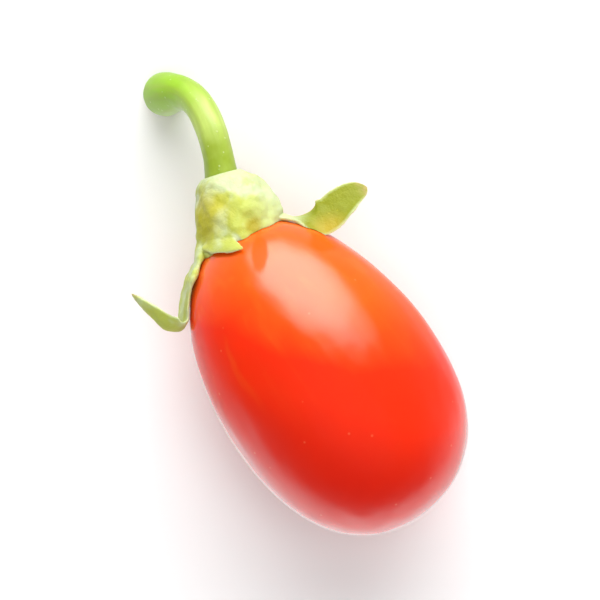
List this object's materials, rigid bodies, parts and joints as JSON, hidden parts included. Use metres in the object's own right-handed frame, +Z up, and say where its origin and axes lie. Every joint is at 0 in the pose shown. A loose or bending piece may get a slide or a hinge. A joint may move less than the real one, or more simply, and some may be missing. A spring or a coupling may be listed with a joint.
{
  "type": "goji berry",
  "caption": "Ripe goji berry as picked: a glossy oblong red fruit lying on its side, with its pale green calyx and a short curved stalk.",
  "frame": {"origin": "centre of the small flat spot under the fruit, on the surface that it rests on", "axes": "+X runs level along the fruit from its blossom end towards its stalk, +Z is up, and +Y is to the left of someone who looks along +X"},
  "size_m": [0.027, 0.0132, 0.0116],
  "materials": {
    "skin": "gloss",
    "calyx_green": "matte",
    "stalk_green": "satin"
  },
  "bodies": {
    "root": {"berry": "skin", "calyx": "calyx_green", "pedicel": "stalk_green"}
  },
  "joints": []
}
